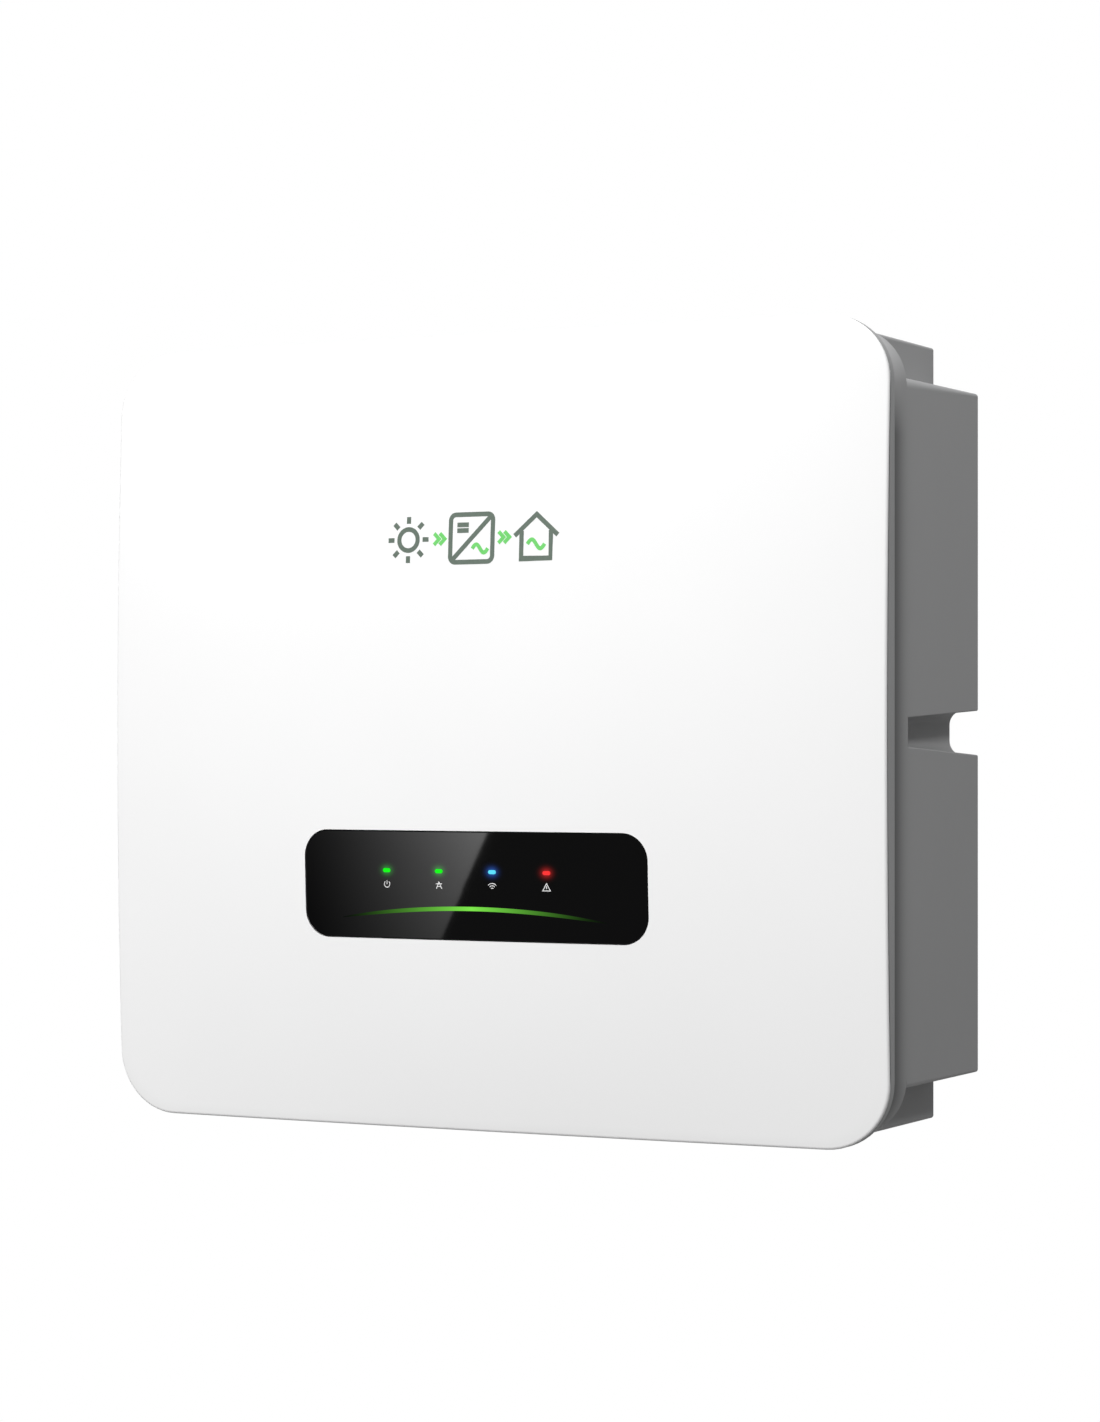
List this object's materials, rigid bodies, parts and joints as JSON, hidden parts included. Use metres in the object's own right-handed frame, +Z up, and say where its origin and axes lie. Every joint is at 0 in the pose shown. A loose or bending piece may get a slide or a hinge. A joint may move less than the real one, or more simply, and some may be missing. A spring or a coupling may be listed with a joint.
{
  "type": "string inverter",
  "caption": "Wall-hung solar string inverter: white crowned cover, black status window, grey cast housing with side grips, rear fins and a recessed connector bay.",
  "frame": {"origin": "on the wall plane, on the back face of the wall bracket, level with the middle of the inverter", "axes": "+Y into the wall, -Y is the front, +Z up, +X to the right as seen from the front"},
  "size_m": [0.458, 0.1571, 0.42],
  "materials": {
    "cover_white": "smooth satin white, moulded",
    "cast_grey": "fine textured mid-grey powder coat on cast aluminium",
    "window_black": "polished black acrylic",
    "bar_aluminium": "bare extruded aluminium",
    "zinc_steel": "zinc plated",
    "seal_rubber": "matt",
    "plug_black": "fine moulded texture",
    "knob_black": "fine moulded texture",
    "module_black": "moulded",
    "board_green": "solder mask on glass laminate",
    "ferrite_grey": "wound core, potted in a dark can",
    "sleeve_blue": "shrink sleeve",
    "relay_cream": "moulded",
    "light_green": "lit light pipe",
    "light_blue": "lit light pipe",
    "light_red": "lit light pipe",
    "light_arc": "lit light guide",
    "plate_silver": "satin anodised"
  },
  "bodies": {
    "bracket": {"wall_bracket": "zinc_steel"},
    "inverter": {"hanger_rail": "zinc_steel", "housing": "cast_grey", "lid": "cast_grey", "heat_sink": "bar_aluminium", "lid_gasket": "seal_rubber", "front_cover": "cover_white", "display_window": "window_black", "power_light": "light_green", "grid_light": "light_green", "com_light": "light_blue", "alarm_light": "light_red", "light_bar": "light_arc", "display_board": "board_green", "power_board": "board_green", "control_board": "board_green", "ac_socket": "plug_black", "breather_valve": "plug_black", "com_socket": "plug_black", "com_cap": "plug_black", "meter_gland": "plug_black", "earth_screw": "zinc_steel", "dc_switch_body": "relay_cream", "dc_switch_plate": "plug_black", "rating_plate": "plate_silver", "rail_screw_1": "zinc_steel", "rail_screw_2": "zinc_steel", "rail_screw_3": "zinc_steel", "rail_screw_4": "zinc_steel", "lid_screw_1": "zinc_steel", "lid_screw_2": "zinc_steel", "lid_screw_3": "zinc_steel", "lid_screw_4": "zinc_steel", "power_module_1": "module_black", "power_module_2": "module_black", "bus_capacitor_1": "sleeve_blue", "bus_capacitor_2": "sleeve_blue", "bus_capacitor_3": "sleeve_blue", "bus_capacitor_4": "sleeve_blue", "boost_inductor_1": "ferrite_grey", "boost_inductor_2": "ferrite_grey", "filter_inductor_1": "ferrite_grey", "filter_inductor_2": "ferrite_grey", "filter_inductor_3": "ferrite_grey", "grid_relay_1": "relay_cream", "grid_relay_2": "relay_cream", "grid_relay_3": "relay_cream", "emi_choke_1": "ferrite_grey", "emi_choke_2": "ferrite_grey", "board_spacer_1": "zinc_steel", "board_spacer_2": "zinc_steel", "board_spacer_3": "zinc_steel", "board_spacer_4": "zinc_steel", "pv_socket_1": "plug_black", "pv_socket_2": "plug_black", "pv_socket_3": "plug_black", "pv_socket_4": "plug_black"},
    "isolator": {"dc_switch_shaft": "zinc_steel", "dc_switch_knob": "knob_black"}
  },
  "joints": [
    {"name": "lift_off", "type": "slide", "parent": "bracket", "child": "inverter", "axis": [0, 0, 1], "range_m": [0, 0.025]},
    {"name": "dc_switch_turn", "type": "hinge", "parent": "inverter", "child": "isolator", "pos_m": [-0.152, -0.075, -0.18], "axis": [0, 0, -1], "range_deg": [0, 90]}
  ]
}
